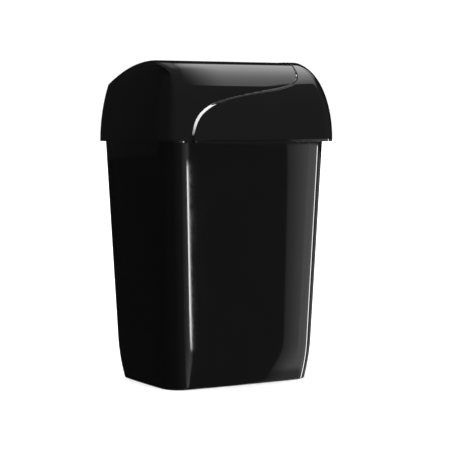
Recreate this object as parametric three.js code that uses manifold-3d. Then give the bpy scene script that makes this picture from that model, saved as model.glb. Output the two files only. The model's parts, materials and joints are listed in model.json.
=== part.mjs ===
// A free-standing or wall-hung waste bin: a tapered container with a hinged, domed hood.
// Millimetres, +Z up, front towards -Y, back plane parallel to XZ, origin on the floor below the middle.

import * as THREE from 'three';
import { mergeVertices } from 'three/addons/utils/BufferGeometryUtils.js';
import Module from 'manifold-3d';

const wasm = await Module();
wasm.setup();

// ---- Driving dimensions ----

// Whole bin
const HEIGHT = 660;
const DEPTH = 270;
const RIM_Z = 496.5;
const BACK_Y = DEPTH / 2;
const FRONT_BOW = 2.6;

// Container
const BODY_HALF_BACK = 205;
const BODY_HALF_FRONT = 184;
const BODY_DEPTH = 250;
const BODY_FRONT_Y = BACK_Y - BODY_DEPTH;
const BODY_TAPER = 21.4;
const BODY_WALL = 3;
const BODY_TOP = 510;
const BODY_BASE = 1;
const BODY_FLOOR = 5;
const BODY_CORNER = 42;
const SKIRT_HEIGHT = 86;
const SKIRT_INSET = 7;

// Hood
const HOOD_HALF_BACK = 217;
const HOOD_HALF_FRONT = 196.5;
const HOOD_WALL = 4;
const HOOD_HEIGHT = HEIGHT - RIM_Z;
const HOOD_FRONT_Y = BACK_Y - DEPTH + FRONT_BOW;
const RIDGE_SETBACK = 121;
const RIDGE_Y = HOOD_FRONT_Y + RIDGE_SETBACK;
const FRONT_POWER = 2.42;
const KINK_HEIGHT = 117.5;
const ROOF_POWER = 2.1;
const CHEEK_LEAN = 36;
const SHOULDER_LEAN = 12.5;
const SHOULDER_POWER = 7.2;
const HOOD_CORNER_RIM = 38.5;
const HOOD_CORNER_TOP = 30;

// Front panel on the hood: its wave edge in XZ, and its hidden rear edge
const PANEL_THICKNESS = 1.7;
const PANEL_GAP = 0.3;
const PANEL_BACK_Y = -2;
const PANEL_EDGE = [
  [-138.5, 480], [-138.5, 505], [-135, 521.5], [-128, 539], [-119.5, 551], [-105, 562.5],
  [-84, 573.5], [-60, 581.5], [-18, 590.5], [40, 600.5], [80, 608], [105, 616],
  [118, 626], [125, 641], [130, 652], [133, 670],
];
const PANEL_SCREW_X = [-105, -25, 55, 135];
const PANEL_SCREW_Z = 522;
const PANEL_BOSS_RADIUS = 4;
const PANEL_BOSS_REACH = 5;
const PANEL_SHANK = 1.4;
const PANEL_HEAD_RADIUS = 6.5;

// Hood hinge
const HINGE_Y = 115;
const HINGE_Z = 612.5;
const HINGE_X = 120;
const PIN_RADIUS = 2.5;
const PIN_CLEARANCE = 0.1;
const PIN_HEAD_RADIUS = 4.2;
const CLIP_RADIUS = 4.6;
const CLIP_THICKNESS = 1.6;
const LUG_RADIUS = 6.5;
const LUG_WIDTH = 5;
const LUG_GAP = 0.5;
const LUG_OFFSET = 10;
const KNUCKLE_WIDTH = 2 * LUG_OFFSET - LUG_WIDTH - 2 * LUG_GAP;
const LIP_RADIUS = 11.6;
const LIP_WALL = 3.7;
const ROOF_END_Y = HINGE_Y + 5.7;

// Stops on the hood and the rubber clips on the rim below them
const STOP_X = 70;
const STOP_Y = 20;
const STOP_THICKNESS = 4;
const STOP_END_Y = BODY_FRONT_Y + 5.5;
const STOP_BOTTOM = BODY_TOP + 4;
const FRONT_STOP_HEIGHT = 36;
const SIDE_STOP_HEIGHT = 31;
const SIDE_STOP_REACH = 18;
const BUFFER_WIDTH = 16;
const BUFFER_GAP = 0.5;
const BUFFER_SKIN = 2;
const BUFFER_DROP = 4.5;
const BUFFER_TOP = 3.5;

// Fixed rear panel
const REAR_THICKNESS = 3;
const REAR_SIDE_GAP = 2.4;
const REAR_TOP_HALF = 191;
const REAR_BOTTOM = BODY_TOP + 0.4;
const REAR_LIP_Y = 129;
const REAR_LIP_THICKNESS = 5;
const TAB_X = [-165, -105, 105, 165];
const TAB_WIDTH = 24;
const TAB_Y = 130.8;
const TAB_THICKNESS = 3.3;
const TAB_BOTTOM = 478;
const TAB_TOP = REAR_BOTTOM + 12;
const TAB_SCREW_Z = 488;
const SCREW_RADIUS = 2;
const SCREW_HOLE = 2.3;
const SCREW_HEAD_RADIUS = 4;
const SCREW_HEAD_HEIGHT = 2.6;
const KEYHOLE_X = 100;
const KEYHOLE_Z = 555;
const KEYHOLE_HEAD = 5.5;
const KEYHOLE_SLOT = 2.75;
const KEYHOLE_RISE = 14;

// Bag ring
const RING_HINGE_Y = 126;
const RING_HINGE_Z = 503;
const RING_HINGE_X = 60;
const RING_BOTTOM = 500;
const RING_THICKNESS = 5;
const RING_WIDTH = 13;
const RING_SIDE_GAP = 4.5;
const RING_BACK_Y = 120;
const RING_PIN_RADIUS = 2;
const RING_PIN_HEAD = 3.4;
const RING_EYE_RADIUS = 3.8;
const RING_EYE_HALF = 4.5;
const EAR_OFFSET = 6.5;
const EAR_THICKNESS = 3;
const GRIP_HALF = 22;
const GRIP_HEIGHT = 14;

// Foot pads
const PAD_RADIUS = 12;
const PAD_HEIGHT = 4;
const PAD_FRONT_X = 110;
const PAD_BACK_X = 135;
const PAD_INSET = 24;

// Gap between pieces that touch, and how far a cutting solid runs past what it cuts
const GAP = 0.3;
const PAST = 5;

// ---- Materials ----

function plastic(color, roughness) {
  return new THREE.MeshStandardMaterial({ color, roughness, metalness: 0 });
}

const glossBlack = plastic(0x0b0b0d, 0.12);
const satinBlack = plastic(0x17171a, 0.45);
const greyPlastic = plastic(0x55585c, 0.5);
const rubber = plastic(0x202020, 0.9);
const steel = new THREE.MeshStandardMaterial({ color: 0xb9bcc0, roughness: 0.35, metalness: 1 });

// ---- Solids from three.js geometry ----

function solid(geometry) {
  const plain = geometry.index ? geometry.toNonIndexed() : geometry.clone();
  plain.deleteAttribute('normal');
  plain.deleteAttribute('uv');
  const merged = mergeVertices(plain, 1e-3);
  const mesh = new wasm.Mesh({
    numProp: 3,
    vertProperties: new Float32Array(merged.attributes.position.array),
    triVerts: new Uint32Array(merged.index.array),
  });
  return new wasm.Manifold(mesh);
}

function geometryOf(manifold) {
  const mesh = manifold.getMesh();
  const geometry = new THREE.BufferGeometry();
  geometry.setAttribute('position', new THREE.BufferAttribute(new Float32Array(mesh.vertProperties), 3));
  geometry.setIndex(new THREE.BufferAttribute(new Uint32Array(mesh.triVerts), 1));
  geometry.computeVertexNormals();
  return geometry;
}

// The solid's one real body, without the slivers of no thickness that a cut can leave.
function wholeBody(manifold, name) {
  const bodies = solid(geometryOf(manifold)).decompose().filter((body) => body.volume() > 1);
  if (bodies.length !== 1) throw new Error(`${name} is ${bodies.length} bodies`);
  return bodies[0];
}

// Closed loft through rings of equal point count, each ring counter-clockwise seen from above.
function loft(rings) {
  const count = rings[0].length;
  const positions = [];
  const index = [];
  for (const ring of rings) {
    for (const point of ring) positions.push(...point);
  }
  for (let r = 0; r + 1 < rings.length; r += 1) {
    for (let i = 0; i < count; i += 1) {
      const a = r * count + i;
      const b = r * count + ((i + 1) % count);
      index.push(a, b, b + count, a, b + count, a + count);
    }
  }
  const caps = [[rings[0], 0, true], [rings[rings.length - 1], (rings.length - 1) * count, false]];
  for (const [ring, first, down] of caps) {
    const centre = positions.length / 3;
    const mean = [0, 1, 2].map((k) => ring.reduce((sum, p) => sum + p[k], 0) / count);
    positions.push(...mean);
    for (let i = 0; i < count; i += 1) {
      const a = first + i;
      const b = first + ((i + 1) % count);
      index.push(...(down ? [centre, b, a] : [centre, a, b]));
    }
  }
  const geometry = new THREE.BufferGeometry();
  geometry.setAttribute('position', new THREE.Float32BufferAttribute(positions, 3));
  geometry.setIndex(index);
  return solid(geometry);
}

function box(x0, x1, y0, y1, z0, z1) {
  const geometry = new THREE.BoxGeometry(x1 - x0, y1 - y0, z1 - z0);
  geometry.translate((x0 + x1) / 2, (y0 + y1) / 2, (z0 + z1) / 2);
  return solid(geometry);
}

// Cylinder between two heights along one axis ('x', 'y' or 'z'), centred on the other two coordinates.
function cylinder(axis, radius, from, to, u, v, segments = 16) {
  const geometry = new THREE.CylinderGeometry(radius, radius, to - from, segments);
  const middle = (from + to) / 2;
  if (axis === 'x') {
    geometry.rotateZ(-Math.PI / 2);
    geometry.translate(middle, u, v);
  } else if (axis === 'y') {
    geometry.translate(u, middle, v);
  } else {
    geometry.rotateX(Math.PI / 2);
    geometry.translate(u, v, middle);
  }
  return solid(geometry);
}

function shapeFrom(points) {
  return new THREE.Shape(points.map(([u, v]) => new THREE.Vector2(u, v)));
}

// Outline in XZ pushed along Y from yNear to yFar.
function slabAlongY(shape, yNear, yFar) {
  const geometry = new THREE.ExtrudeGeometry(shape, {
    depth: yFar - yNear, bevelEnabled: false, curveSegments: 12,
  });
  geometry.rotateX(Math.PI / 2);
  geometry.translate(0, yFar, 0);
  return solid(geometry);
}

// Outline in YZ pushed along X from xLow to xHigh.
function slabAlongX(shape, xLow, xHigh) {
  const geometry = new THREE.ExtrudeGeometry(shape, {
    depth: xHigh - xLow, bevelEnabled: false, curveSegments: 12,
  });
  geometry.rotateY(Math.PI / 2);
  geometry.rotateX(Math.PI / 2);
  geometry.translate(xLow, 0, 0);
  return solid(geometry);
}

function union(...parts) {
  return parts.reduce((whole, part) => whole.add(part));
}

function cut(whole, ...tools) {
  return tools.reduce((rest, tool) => rest.subtract(tool), whole);
}

// ---- Plan outline shared by container, hood and bag ring ----

// The sides curve in towards the front, the front corners are round, the front bows slightly.
function planOutline({ halfWidth, yBack, yFront, radius, bow, z }) {
  const SIDE_STEPS = 5;
  const CORNER_STEPS = 6;
  const FRONT_STEPS = 4;
  const yCorner = yFront + radius;
  const xCorner = halfWidth(yCorner) - radius;
  const left = [];
  for (let i = 0; i < SIDE_STEPS; i += 1) {
    const y = yBack + ((yCorner - yBack) * i) / SIDE_STEPS;
    left.push([-halfWidth(y), y, z]);
  }
  for (let i = 0; i < CORNER_STEPS; i += 1) {
    const angle = Math.PI + ((Math.PI / 2) * i) / CORNER_STEPS;
    left.push([-xCorner + radius * Math.cos(angle), yCorner + radius * Math.sin(angle), z]);
  }
  for (let i = 0; i < FRONT_STEPS; i += 1) {
    const share = 1 - i / FRONT_STEPS;
    left.push([-xCorner * share, yFront - bow * (1 - share * share), z]);
  }
  const right = left.map(([x, y]) => [-x, y, z]).reverse();
  return [...left, [0, yFront - bow, z], ...right];
}

// ---- Container ----

// Half width of the container's rim at y, before taper and wall.
function bodyHalfWidth(y) {
  const share = (BACK_Y - y) / BODY_DEPTH;
  return BODY_HALF_BACK - (BODY_HALF_BACK - BODY_HALF_FRONT) * share * share;
}

function bodyRing(z, inset) {
  const below = Math.max(0, 1 - z / RIM_Z);
  const skirt = SKIRT_INSET * Math.max(0, 1 - z / SKIRT_HEIGHT) ** 2;
  const shrink = BODY_TAPER * below + skirt + inset;
  return planOutline({
    halfWidth: (y) => bodyHalfWidth(y) - shrink,
    yBack: BACK_Y - shrink,
    yFront: BODY_FRONT_Y + shrink,
    radius: BODY_CORNER - inset,
    bow: FRONT_BOW,
    z,
  });
}

function bodyCore(bottom, top, inset) {
  const levels = [bottom, 18, 34, 56, SKIRT_HEIGHT, 280, RIM_Z, top].filter((z) => z >= bottom);
  return loft(levels.map((z) => bodyRing(z, inset)));
}

function padCentres() {
  const yFront = BODY_FRONT_Y + BODY_TAPER + 2 * PAD_INSET - 3;
  const yBack = BACK_Y - BODY_TAPER - 2 * PAD_INSET + 8;
  return {
    foot_pad_front_left: [-PAD_FRONT_X, yFront],
    foot_pad_front_right: [PAD_FRONT_X, yFront],
    foot_pad_back_left: [-PAD_BACK_X, yBack],
    foot_pad_back_right: [PAD_BACK_X, yBack],
  };
}

// Ears on the back wall that carry the bag ring's pins.
function ringEars() {
  const half = EAR_THICKNESS / 2;
  const ears = [];
  for (const side of [-1, 1]) {
    for (const offset of [-EAR_OFFSET, EAR_OFFSET]) {
      const x = side * RING_HINGE_X + offset;
      const reach = RING_HINGE_Y - RING_EYE_RADIUS;
      ears.push(box(x - half, x + half, reach, BACK_Y - 1, RIM_Z, RING_HINGE_Z + 4.5));
    }
  }
  return ears;
}

// Ledges on the front and side walls that the bag ring rests on.
function ringLedges() {
  const top = RING_BOTTOM - GAP;
  const bottom = top - 12;
  const reach = BODY_WALL + RING_SIDE_GAP + 5;
  const sideY = 30;
  const half = 10;
  const ledges = [];
  for (const side of [-1, 1]) {
    const x = side * RING_HINGE_X;
    ledges.push(box(x - half, x + half, BODY_FRONT_Y, BODY_FRONT_Y + reach, bottom, top));
    const outer = side * (bodyHalfWidth(sideY) - BODY_WALL + 1);
    const inner = side * (bodyHalfWidth(sideY) - reach);
    const [low, high] = [Math.min(outer, inner), Math.max(outer, inner)];
    ledges.push(box(low, high, sideY - half, sideY + half, bottom, top));
  }
  return ledges;
}

function bodyShell() {
  const outer = bodyCore(BODY_BASE, BODY_TOP, 0);
  const inner = bodyCore(BODY_BASE + BODY_FLOOR, BODY_TOP + PAST, BODY_WALL);
  let shell = union(outer.subtract(inner), ...ringEars(), ...ringLedges());
  for (const [x, y] of Object.values(padCentres())) {
    shell = shell.subtract(cylinder('z', PAD_RADIUS + GAP, -PAST, PAD_HEIGHT + GAP, x, y, 24));
  }
  const bore = RING_PIN_RADIUS + PIN_CLEARANCE;
  const boreReach = EAR_OFFSET + EAR_THICKNESS;
  for (const x of [-RING_HINGE_X, RING_HINGE_X]) {
    shell = shell.subtract(cylinder('x', bore, x - boreReach, x + boreReach, RING_HINGE_Y, RING_HINGE_Z));
  }
  for (const x of TAB_X) {
    shell = shell.subtract(cylinder('y', SCREW_HOLE, TAB_Y - PAST, BACK_Y + PAST, x, TAB_SCREW_Z));
  }
  return shell;
}

function footPad([x, y]) {
  return cylinder('z', PAD_RADIUS, 0, PAD_HEIGHT, x, y, 24);
}

// ---- Hood surface ----

function cheekLean(share) {
  const shoulder = 1 - Math.sqrt(1 - Math.min(share, 1) ** SHOULDER_POWER);
  return CHEEK_LEAN * share * share + SHOULDER_LEAN * shoulder;
}

function hoodHalfWidth(y, share) {
  const along = (BACK_Y - y) / DEPTH;
  const plan = HOOD_HALF_BACK + (HOOD_HALF_FRONT - HOOD_HALF_BACK) * along * along;
  return plan - cheekLean(share);
}

function frontProfile(share) {
  return RIDGE_SETBACK * (1 - (1 - share ** FRONT_POWER) ** (1 / FRONT_POWER));
}

function roofZ(y) {
  const back = Math.max(0, (y - RIDGE_Y) / (BACK_Y - RIDGE_Y));
  return HEIGHT - (HOOD_HEIGHT - KINK_HEIGHT) * back ** ROOF_POWER;
}

function roofY(height) {
  if (height < KINK_HEIGHT) return BACK_Y;
  const drop = (HOOD_HEIGHT - height) / (HOOD_HEIGHT - KINK_HEIGHT);
  return RIDGE_Y + (BACK_Y - RIDGE_Y) * drop ** (1 / ROOF_POWER);
}

// Shares of the hood's height at which its surface has a ring.
const HOOD_LEVELS = [
  0, 0.25, 0.45, 0.6, KINK_HEIGHT / HOOD_HEIGHT, 0.8, 0.87, 0.92, 0.96, 0.985, 0.9998,
];

// One level of the hood, moved in by inset on every side and down by inset at the ridge.
function hoodRing(share, inset, reachBack) {
  const height = share * HOOD_HEIGHT;
  const z = RIM_Z + share * (HOOD_HEIGHT - inset);
  const yFront = HOOD_FRONT_Y + inset + frontProfile(share) * (1 - inset / RIDGE_SETBACK);
  const open = height <= KINK_HEIGHT + 0.01;
  const yBack = roofY(height) - (open ? -reachBack : inset * 0.3);
  const radius = Math.min(
    HOOD_CORNER_RIM + (HOOD_CORNER_TOP - HOOD_CORNER_RIM) * share - inset,
    (yBack - yFront) * 0.95,
  );
  return planOutline({
    halfWidth: (y) => hoodHalfWidth(Math.min(y, BACK_Y), share) - inset,
    yBack,
    yFront,
    radius,
    bow: FRONT_BOW * (1 - share),
    z,
  });
}

function hoodCore(inset, reachBack) {
  const rings = HOOD_LEVELS.map((share) => hoodRing(share, inset, reachBack));
  if (inset !== 0) {
    rings.unshift(rings[0].map(([x, y, z]) => [x, y, z - 6]));
  }
  return loft(rings);
}

// ---- Hood ----

// Everything on the front panel's side of the wave edge, moved out by grow.
function panelRegion(grow) {
  const edge = PANEL_EDGE.map(([x, z]) => [x - grow, z + grow]);
  const [, bottom] = edge[0];
  const [, top] = edge[edge.length - 1];
  const right = HOOD_HALF_BACK + PAST;
  const outline = [...edge, [right, top], [right, bottom]].reverse();
  return slabAlongY(shapeFrom(outline), HOOD_FRONT_Y - 3 * PAST, PANEL_BACK_Y + grow);
}

// Where the hood's front face is, at x within its flat part.
function frontAt(x, z) {
  const share = (z - RIM_Z) / HOOD_HEIGHT;
  const across = x / (HOOD_HALF_FRONT - HOOD_CORNER_RIM);
  return HOOD_FRONT_Y + frontProfile(share) - FRONT_BOW * (1 - share) * (1 - across * across);
}

function panelBosses(radius, reach) {
  return PANEL_SCREW_X.map((x) => {
    const y = frontAt(x, PANEL_SCREW_Z);
    return cylinder('y', radius, y - 0.5, y + reach, x, PANEL_SCREW_Z);
  });
}

// Turned-down rear edge of the roof, round the hinge axis.
function hoodLip() {
  const outline = new THREE.Shape();
  const top = THREE.MathUtils.degToRad(80);
  outline.absarc(HINGE_Y, HINGE_Z, LIP_RADIUS, 0, top, false);
  outline.absarc(HINGE_Y, HINGE_Z, LIP_RADIUS - LIP_WALL, top, 0, true);
  const half = hoodHalfWidth(HINGE_Y, KINK_HEIGHT / HOOD_HEIGHT) - HOOD_WALL + 0.5;
  return slabAlongX(outline, -half, half);
}

function hoodKnuckle(x) {
  const half = KNUCKLE_WIDTH / 2;
  const web = box(x - half, x + half, HINGE_Y - 7, HINGE_Y + 4, HINGE_Z, HINGE_Z + 11);
  const barrel = cylinder('x', LUG_RADIUS, x - half, x + half, HINGE_Y, HINGE_Z);
  return barrel.add(web);
}

// Room for the fixed lugs: a slot in the lip and a shallow pocket under the roof.
function lugSlot(x) {
  const half = LUG_OFFSET + LUG_WIDTH / 2 + LUG_GAP + 1;
  const bottom = HINGE_Z - 12;
  const pocket = box(x - half, x + half, HINGE_Y - 4, BACK_Y, bottom, HINGE_Z + 7.6);
  const slot = box(x - half, x + half, HINGE_Y + 5.5, BACK_Y, bottom, HINGE_Z + 14);
  return pocket.add(slot);
}

// Ribs inside the hood that come down on the rubber clips.
function hoodStops() {
  const half = STOP_THICKNESS / 2;
  const stops = [];
  for (const side of [-1, 1]) {
    const x = side * STOP_X;
    const frontTop = STOP_BOTTOM + FRONT_STOP_HEIGHT;
    stops.push(box(x - half, x + half, HOOD_FRONT_Y, STOP_END_Y, STOP_BOTTOM, frontTop));
    const ends = [side * (HOOD_HALF_BACK - SIDE_STOP_REACH), side * HOOD_HALF_BACK];
    const [low, high] = [Math.min(...ends), Math.max(...ends)];
    const sideTop = STOP_BOTTOM + SIDE_STOP_HEIGHT;
    stops.push(box(low, high, STOP_Y - half, STOP_Y + half, STOP_BOTTOM, sideTop));
  }
  const inside = hoodCore(HOOD_WALL - 1, 0);
  return stops.map((stop) => stop.intersect(inside));
}

function hoodShell() {
  const outer = hoodCore(0, 0);
  const cavity = hoodCore(HOOD_WALL, PAST);
  const underPanel = hoodCore(PANEL_THICKNESS + PANEL_GAP, 0);
  const recess = hoodCore(-3, 3).subtract(underPanel).intersect(panelRegion(PANEL_GAP));
  const endHalf = REAR_TOP_HALF + 1;
  const roofEnd = box(-endHalf, endHalf, ROOF_END_Y, BACK_Y + PAST, HINGE_Z - 20, HEIGHT);
  let shell = cut(outer, cavity, recess, roofEnd).add(hoodLip());
  for (const x of [-HINGE_X, HINGE_X]) {
    const reach = LUG_OFFSET + LUG_WIDTH;
    const bore = cylinder('x', PIN_RADIUS + PIN_CLEARANCE, x - reach, x + reach, HINGE_Y, HINGE_Z);
    shell = shell.subtract(lugSlot(x)).add(hoodKnuckle(x)).subtract(bore);
  }
  shell = union(shell, ...hoodStops());
  return cut(shell, ...panelBosses(PANEL_BOSS_RADIUS + 0.4, PANEL_BOSS_REACH + PAST));
}

function hoodFrontPanel() {
  const layer = hoodCore(0, 0).subtract(hoodCore(PANEL_THICKNESS, 0));
  const sheet = layer.intersect(panelRegion(0));
  const inside = hoodCore(PANEL_THICKNESS / 3, 0);
  const bosses = panelBosses(PANEL_BOSS_RADIUS, PANEL_BOSS_REACH).map((boss) => boss.intersect(inside));
  const holes = PANEL_SCREW_X.map((x) => {
    const y = frontAt(x, PANEL_SCREW_Z);
    return cylinder('y', PANEL_SHANK + GAP, y + 1.5, y + PANEL_BOSS_REACH + PAST, x, PANEL_SCREW_Z);
  });
  return cut(union(sheet, ...bosses), ...holes);
}

// A screw along Y with a wide head inside the hood and its tip in the panel's boss.
function panelScrew(x) {
  const y = frontAt(x, PANEL_SCREW_Z) + PANEL_BOSS_REACH;
  const shank = cylinder('y', PANEL_SHANK, y - 3, y + 1, x, PANEL_SCREW_Z);
  const head = cylinder('y', PANEL_HEAD_RADIUS, y + GAP, y + GAP + 2.2, x, PANEL_SCREW_Z);
  return shank.add(head);
}

// ---- Rear panel ----

// Half width inside the hood's walls, less a gap that lets the hood swing past.
function rearHalfWidth(height) {
  const share = height / (HOOD_HEIGHT - HOOD_WALL);
  return hoodHalfWidth(BACK_Y, share) - HOOD_WALL - REAR_SIDE_GAP;
}

function keyhole(x) {
  const hole = new THREE.Path();
  const turn = Math.acos(KEYHOLE_SLOT / KEYHOLE_HEAD);
  hole.absarc(x, KEYHOLE_Z, KEYHOLE_HEAD, turn, Math.PI - turn, true);
  hole.absarc(x, KEYHOLE_Z + KEYHOLE_RISE, KEYHOLE_SLOT, Math.PI, 0, true);
  return hole;
}

function rearPlate() {
  const bottom = REAR_BOTTOM - RIM_Z;
  const top = KINK_HEIGHT - 17.5;
  const right = [0, 0.25, 0.5, 0.75, 1].map((share) => {
    const height = bottom + (top - bottom) * share;
    return [rearHalfWidth(height), RIM_Z + height];
  });
  right.push([REAR_TOP_HALF, RIM_Z + top + 3], [REAR_TOP_HALF, roofZ(BACK_Y)]);
  const left = right.map(([x, z]) => [-x, z]).reverse();
  const shape = shapeFrom([...right, ...left]);
  shape.holes.push(keyhole(-KEYHOLE_X), keyhole(KEYHOLE_X));
  return slabAlongY(shape, BACK_Y - REAR_THICKNESS, BACK_Y);
}

// Turned-in top edge that closes the seam behind the hood's lip.
function rearTopEdge() {
  const under = roofZ(BACK_Y) - REAR_LIP_THICKNESS;
  const profile = shapeFrom([
    [BACK_Y - 1, under], [BACK_Y - 1, roofZ(BACK_Y - 1)], [REAR_LIP_Y + 2, roofZ(REAR_LIP_Y + 2)],
    [REAR_LIP_Y, roofZ(REAR_LIP_Y) - 1.5], [REAR_LIP_Y, under],
  ]);
  return slabAlongX(profile, -REAR_TOP_HALF, REAR_TOP_HALF);
}

function hingeLug(x) {
  const profile = shapeFrom([
    [HINGE_Y - 3, HINGE_Z - 5.7], [BACK_Y - 1, HINGE_Z - 28], [BACK_Y - 1, HINGE_Z - 10],
    [HINGE_Y + 3, HINGE_Z - 1.5],
  ]);
  const arm = slabAlongX(profile, x - LUG_WIDTH / 2, x + LUG_WIDTH / 2);
  const eye = cylinder('x', LUG_RADIUS, x - LUG_WIDTH / 2, x + LUG_WIDTH / 2, HINGE_Y, HINGE_Z);
  return arm.add(eye);
}

function screwTab(x) {
  const low = x - TAB_WIDTH / 2;
  const high = x + TAB_WIDTH / 2;
  return union(
    box(low, high, TAB_Y - TAB_THICKNESS, TAB_Y, TAB_BOTTOM, TAB_TOP),
    box(low, high, TAB_Y - TAB_THICKNESS, BACK_Y - 1, REAR_BOTTOM + 0.5, TAB_TOP),
  );
}

function rearPanel() {
  let panel = union(rearPlate(), rearTopEdge(), ...TAB_X.map(screwTab));
  for (const station of [-HINGE_X, HINGE_X]) {
    for (const side of [-1, 1]) {
      panel = panel.add(hingeLug(station + side * LUG_OFFSET));
    }
    const reach = LUG_OFFSET + LUG_WIDTH;
    const bore = PIN_RADIUS + PIN_CLEARANCE;
    panel = panel.subtract(cylinder('x', bore, station - reach, station + reach, HINGE_Y, HINGE_Z));
  }
  const holes = TAB_X.map((x) => cylinder('y', SCREW_HOLE, TAB_Y - PAST, TAB_Y + 1, x, TAB_SCREW_Z));
  return cut(panel, ...holes);
}

// A screw along Y with its head on the tab, tip in the container's back wall.
function rearScrew(x) {
  const headFace = TAB_Y - TAB_THICKNESS - GAP;
  const shank = cylinder('y', SCREW_RADIUS, headFace - 1, BACK_Y - 1.4, x, TAB_SCREW_Z);
  const head = cylinder('y', SCREW_HEAD_RADIUS, headFace - SCREW_HEAD_HEIGHT, headFace, x, TAB_SCREW_Z);
  return shank.add(head);
}

// ---- Hinge pins ----

// Cylinder along X between two ends given in either order.
function axle(radius, end, otherEnd, y, z) {
  return cylinder('x', radius, Math.min(end, otherEnd), Math.max(end, otherEnd), y, z);
}

// Pin with its head on the outer side; side is -1 on the left and 1 on the right.
function hingePin(side) {
  const reach = LUG_OFFSET + LUG_WIDTH / 2;
  const inner = side * (HINGE_X - reach - 4);
  const headFace = side * (HINGE_X + reach + 0.5);
  const headEnd = side * (HINGE_X + reach + 2.5);
  const shank = axle(PIN_RADIUS, inner, headEnd, HINGE_Y, HINGE_Z);
  return shank.add(axle(PIN_HEAD_RADIUS, headFace, headEnd, HINGE_Y, HINGE_Z));
}

// Spring clip ring pushed on the pin's inner end.
function hingeClip(side) {
  const face = side * (HINGE_X - LUG_OFFSET - LUG_WIDTH / 2 - 0.6);
  const far = face - side * CLIP_THICKNESS;
  const ring = axle(CLIP_RADIUS, face, far, HINGE_Y, HINGE_Z);
  const bore = axle(PIN_RADIUS + 0.12, face + side, far - side, HINGE_Y, HINGE_Z);
  return ring.subtract(bore);
}

// ---- Bag ring ----

// Flat plate in the container's mouth, moved in by inset, between two heights.
function ringPlate(inset, bottom, top) {
  const shrink = BODY_WALL + RING_SIDE_GAP + inset;
  return loft([bottom, top].map((z) => planOutline({
    halfWidth: (y) => bodyHalfWidth(y) - shrink,
    yBack: RING_BACK_Y - inset,
    yFront: BODY_FRONT_Y + shrink,
    radius: BODY_CORNER - shrink,
    bow: FRONT_BOW,
    z,
  })));
}

function bagRing() {
  const top = RING_BOTTOM + RING_THICKNESS;
  const mouth = ringPlate(RING_WIDTH, RING_BOTTOM - PAST, top + PAST);
  const gripY = BODY_FRONT_Y + BODY_WALL + RING_SIDE_GAP + RING_WIDTH - 4;
  const grip = box(-GRIP_HALF, GRIP_HALF, gripY, gripY + 3, top - 2, top + GRIP_HEIGHT);
  let ring = ringPlate(0, RING_BOTTOM, top).subtract(mouth).add(grip);
  for (const x of [-RING_HINGE_X, RING_HINGE_X]) {
    const low = x - RING_EYE_HALF;
    const high = x + RING_EYE_HALF;
    const tongue = box(low, high, RING_BACK_Y - 2, RING_HINGE_Y, RING_BOTTOM, top);
    const eye = axle(RING_EYE_RADIUS, low, high, RING_HINGE_Y, RING_HINGE_Z);
    const bore = axle(RING_PIN_RADIUS + PIN_CLEARANCE, low - 1, high + 1, RING_HINGE_Y, RING_HINGE_Z);
    ring = union(ring, tongue, eye).subtract(bore);
  }
  return ring;
}

function ringPin(side) {
  const x = side * RING_HINGE_X;
  const reach = EAR_OFFSET + EAR_THICKNESS / 2;
  const shank = axle(RING_PIN_RADIUS, x - reach - 1, x + reach + 1.5, RING_HINGE_Y, RING_HINGE_Z);
  const head = axle(RING_PIN_HEAD, x + reach + 0.4, x + reach + 2.4, RING_HINGE_Y, RING_HINGE_Z);
  return shank.add(head);
}

// ---- Rubber ----

// U-shaped clip pushed over the container's rim, with its slot along X and the rim's top at z = 0.
function rimBuffer() {
  const half = BUFFER_WIDTH / 2;
  const slot = BODY_WALL / 2 + BUFFER_GAP;
  const outer = slot + BUFFER_SKIN;
  const block = box(-half, half, -outer, outer, -BUFFER_DROP, BUFFER_TOP);
  return block.subtract(box(-half - 1, half + 1, -slot, slot, -BUFFER_DROP - 1, GAP));
}

// Middle of the container's wall on the right side, and how far the side turns from Y there.
function sideRim(y) {
  const ahead = bodyHalfWidth(y - 1);
  const behind = bodyHalfWidth(y + 1);
  return { x: bodyHalfWidth(y) - BODY_WALL / 2, turn: Math.atan((behind - ahead) / 2) };
}

// ---- Assembly ----

const bin = new THREE.Group();

function place(name, manifold, material, position = [0, 0, 0], turn = 0) {
  const mesh = new THREE.Mesh(geometryOf(wholeBody(manifold, name)), material);
  mesh.name = name;
  mesh.position.set(...position);
  mesh.rotation.z = turn;
  bin.add(mesh);
}

place('body_shell', bodyShell(), glossBlack);
for (const [name, centre] of Object.entries(padCentres())) {
  place(name, footPad(centre), rubber);
}

place('rear_panel', rearPanel(), satinBlack);
TAB_X.forEach((x, i) => place(`rear_panel_screw_${i + 1}`, rearScrew(x), steel));
place('hinge_pin_left', hingePin(-1), steel);
place('hinge_pin_right', hingePin(1), steel);
place('hinge_clip_left', hingeClip(-1), steel);
place('hinge_clip_right', hingeClip(1), steel);

const frontRimY = BODY_FRONT_Y - FRONT_BOW * 0.8 + BODY_WALL / 2;
const side = sideRim(STOP_Y);
const rightAngle = Math.PI / 2;
place('rim_buffer_front_left', rimBuffer(), rubber, [-STOP_X, frontRimY, BODY_TOP]);
place('rim_buffer_front_right', rimBuffer(), rubber, [STOP_X, frontRimY, BODY_TOP]);
place('rim_buffer_side_left', rimBuffer(), rubber, [-side.x, STOP_Y, BODY_TOP], rightAngle + side.turn);
place('rim_buffer_side_right', rimBuffer(), rubber, [side.x, STOP_Y, BODY_TOP], rightAngle - side.turn);

place('bag_ring', bagRing(), greyPlastic);
place('bag_ring_pin_left', ringPin(-1), steel);
place('bag_ring_pin_right', ringPin(1), steel);

place('hood_shell', hoodShell(), glossBlack);
place('hood_front_panel', hoodFrontPanel(), glossBlack);
PANEL_SCREW_X.forEach((x, i) => place(`front_panel_screw_${i + 1}`, panelScrew(x), steel));

export default bin;
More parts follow.
